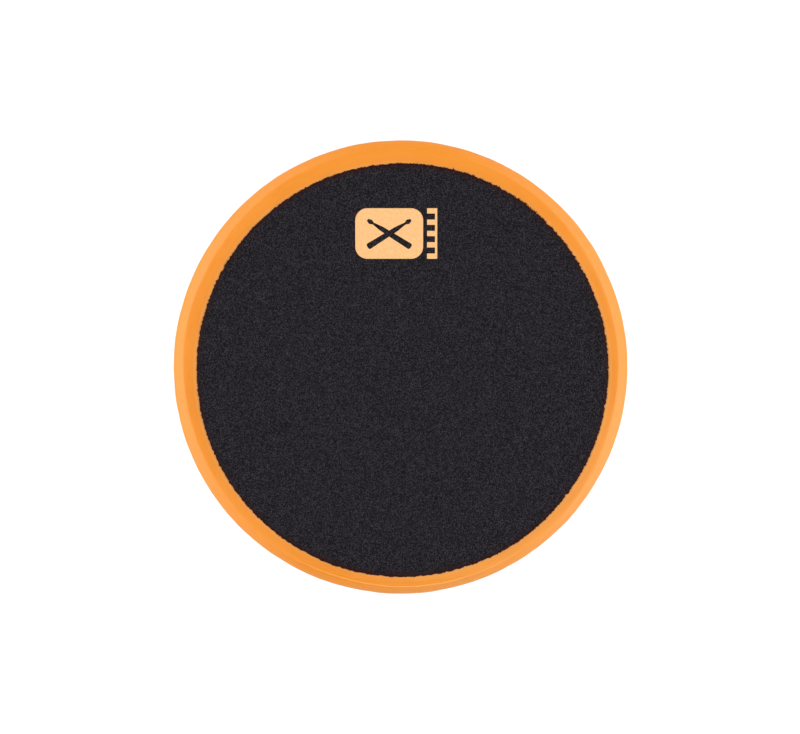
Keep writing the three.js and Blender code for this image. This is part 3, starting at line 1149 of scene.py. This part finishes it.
section = [(OPENING_RADIUS, BASE_HIGH.z), (OPENING_RADIUS, 0)]
grooves = int((BASE_RADIUS - OPENING_RADIUS - 2 * RIB_STEP) / RIB_STEP) + 1
for i in range(grooves):
    inner = OPENING_RADIUS + (i + 1) * RIB_STEP
    section += [
        (inner, 0),
        (inner + GROOVE_WALL, GROOVE_DEPTH),
        (inner + GROOVE_WIDTH - GROOVE_WALL, GROOVE_DEPTH),
        (inner + GROOVE_WIDTH, 0),
    ]
section += [(BASE_RADIUS, 0), (BASE_RADIUS, BASE_HIGH.z)]
print(grooves, "grooves in the base")
base = turn(
    "base_ring",
    section,
    rounds=[
        ((OPENING_RADIUS, 0), 0.4 * MM, 3),
        ((BASE_RADIUS, 0), 0.6 * MM, 4),
    ],
    steps=ROUND_STEPS * 3 // 4,
)
smooth(base, 35)
finish_piece(base, BLACK_RUBBER, "black_rubber", "grip_base")

# %% [markdown]
# ## The stand insert
#
# The insert is turned from steel: a flange with eased edges, and a boss that stands in the board. Both
# ends of its hole are chamfered, so that a rod finds the thread. It is turned like the rubber pieces,
# as the real one is on a lathe.

# %% Turn the insert
INSERT_LOW, INSERT_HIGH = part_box("stand_insert")
CHAMFER = 0.75 * MM
BORE = 3.35 * MM
FLANGE_TOP = BOARD_LOW.z
BOSS_RADIUS = 5.5 * MM
face = INSERT_LOW.z
rear = INSERT_HIGH.z
insert = turn(
    "insert",
    [
        (BORE + CHAMFER, face),
        (INSERT_HIGH.x, face),
        (INSERT_HIGH.x, FLANGE_TOP),
        (BOSS_RADIUS, FLANGE_TOP),
        (BOSS_RADIUS, rear),
        (BORE + CHAMFER, rear),
        (BORE, rear - CHAMFER),
        (BORE, face + CHAMFER),
    ],
    rounds=[
        ((INSERT_HIGH.x, face), 0.4 * MM, 4),
        ((INSERT_HIGH.x, FLANGE_TOP), 0.2 * MM, 2),
        ((BOSS_RADIUS, rear), 0.3 * MM, 2),
    ],
    steps=96,
)

# %% [markdown]
# The thread is M8, with a pitch of 1.25 mm. Rings side by side would look alike, but a rod could never
# turn into them. So it is cut as on a lathe: the cutter is a triangle that the Screw modifier sweeps
# up the hole, one pitch each turn. It starts below the hole and ends above it, and it leaves a sliver
# of the bore between its turns, because turns that touched would spoil the cut.

# %% Cut the thread
THREAD_RADIUS = 4 * MM
PITCH = 1.25 * MM
TOOTH_ROOT = BORE - 0.25 * MM
TOOTH = [(TOOTH_ROOT, 0), (THREAD_RADIUS, 0.47 * PITCH), (TOOTH_ROOT, 0.94 * PITCH)]
cutter = start_point("thread_cutter")
draw([Vector((radius, 0, face - 2 * PITCH + rise)) for radius, rise in TOOTH])
drop_faces()
end_edit()
turns = math.ceil((rear - face) / PITCH) + 3
apply(
    cutter,
    "SCREW",
    axis="Z",
    screw_offset=PITCH,
    iterations=turns,
    steps=32,
    render_steps=32,
    use_merge_vertices=True,
)
start_edit(cutter)
select_whole()
bpy.ops.mesh.fill_holes(sides=0)
select_whole()
bpy.ops.mesh.normals_make_consistent(inside=False)
end_edit()
cut(insert, cutter)
print("insert after threading:", len(insert.data.polygons), "faces")

# %% [markdown]
# Three screws stand on a circle round the thread, and the flange is countersunk for their heads. The
# sizes and places come from the frame's own screws. The cutter is the screw head's cone, a little
# larger, so the head lies in it with the same small gap all round.

# %% Countersink the flange
SCREWS = [f"insert_screw_{i}" for i in (1, 2, 3)]
SCREW_BOXES = [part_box(node) for node in SCREWS]
HEAD_RADIUS = (SCREW_BOXES[0][1].x - SCREW_BOXES[0][0].x) / 2
SHANK_RADIUS = 1.25 * MM
CLEARANCE = 0.2 * MM
TIP = SCREW_BOXES[0][1].z


def screw_middle(box):
    return Vector(((box[0].x + box[1].x) / 2, (box[0].y + box[1].y) / 2, 0))


for box in SCREW_BOXES:
    sink = turn(
        "sink",
        [
            (0, face - 0.5 * MM),
            (HEAD_RADIUS + CLEARANCE + 0.5 * MM, face - 0.5 * MM),
            (SHANK_RADIUS + CLEARANCE, FLANGE_TOP - 0.1 * MM),
            (SHANK_RADIUS + CLEARANCE, FLANGE_TOP + 0.5 * MM),
            (0, FLANGE_TOP + 0.5 * MM),
        ],
        steps=48,
    )
    sink.data.transform(Matrix.Translation(screw_middle(box)))
    cut(insert, sink)
smooth(insert, 30)
finish_piece(insert, ZINC_STEEL, "zinc_steel", "stand_insert")

# %% [markdown]
# One screw is modelled and copied. It is a turned blank with a countersunk head and a pointed tip, and
# two crossed wedges cut the recess in its face. In the board its thread can't be seen, so the shank
# stays plain.

# %% Model one screw
NECK = face + 1.45 * MM
TAPER = TIP - 2 * MM
SLOT_WIDTH, SLOT_LENGTH, SLOT_DEPTH = 0.62 * MM, 3 * MM, 0.95 * MM
SLOT_DRAFT = 0.55  # the recess's floor as a share of its mouth
blank = turn(
    "blank",
    [
        (0, face),
        (HEAD_RADIUS, face),
        (HEAD_RADIUS, face + 0.15 * MM),
        (SHANK_RADIUS, NECK),
        (SHANK_RADIUS, TAPER),
        (0, TIP),
    ],
    steps=40,
)
for width, length in ((SLOT_WIDTH, SLOT_LENGTH), (SLOT_LENGTH, SLOT_WIDTH)):
    bpy.ops.object.select_all(action="DESELECT")
    bpy.ops.mesh.primitive_cube_add(
        size=1, location=(0, 0, face), scale=(width, length, 2 * SLOT_DEPTH)
    )
    recess = bpy.context.object
    bpy.ops.object.transform_apply(location=True, rotation=True, scale=True)
    start_edit(recess)
    pick(recess, "FACE", lambda co: co.z > face + SLOT_DEPTH / 2)
    bpy.ops.transform.resize(value=(SLOT_DRAFT, SLOT_DRAFT, 1))
    end_edit()
    cut(blank, recess)
smooth(blank, 30)
print(f"one screw: {(TIP - face) / MM:.1f} mm long, {len(blank.data.polygons)} faces")

# %% [markdown]
# Each copy has its own mesh, moved to its place, because a finished piece's object stays at the origin.

# %% Set the screws
for node, box in zip(SCREWS, SCREW_BOXES):
    screw = bpy.data.objects.new(node.replace("insert_", ""), blank.data.copy())
    bpy.context.scene.collection.objects.link(screw)
    screw.data.transform(Matrix.Translation(screw_middle(box)))
    finish_piece(screw, ZINC_STEEL, "zinc_steel", node)
bpy.data.objects.remove(blank)

# %% [markdown]
# ## The foam disc
#
# The foam is die-cut from a sheet, and the blade drags its edge a little, so the side is slightly
# hollow and both rims are soft. It lies pressed flat between the board and the rubber, so a cloth
# simulation has nothing to add, and the section is turned with a hollow side.

# %% Die-cut foam
FOAM_LOW, FOAM_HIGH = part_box("foam_core")
FOAM_RADIUS = FOAM_HIGH.x
HOLLOW = 0.35 * MM
section = [(0, FOAM_HIGH.z), (FOAM_RADIUS, FOAM_HIGH.z)]
SIDE_STEPS = 6
for i in range(1, SIDE_STEPS):
    share = i / SIDE_STEPS
    height = FOAM_HIGH.z + share * (FOAM_LOW.z - FOAM_HIGH.z)
    section.append((FOAM_RADIUS - HOLLOW * math.sin(math.pi * share), height))
section += [(FOAM_RADIUS, FOAM_LOW.z), (0, FOAM_LOW.z)]
foam = turn(
    "foam_disc",
    section,
    rounds=[
        ((FOAM_RADIUS, FOAM_HIGH.z), 0.5 * MM, 3),
        ((FOAM_RADIUS, FOAM_LOW.z), 0.5 * MM, 3),
    ],
    steps=ROUND_STEPS // 2,
)
smooth(foam, 40)
finish_piece(foam, CELL_FOAM, "soft_foam", "foam_core")
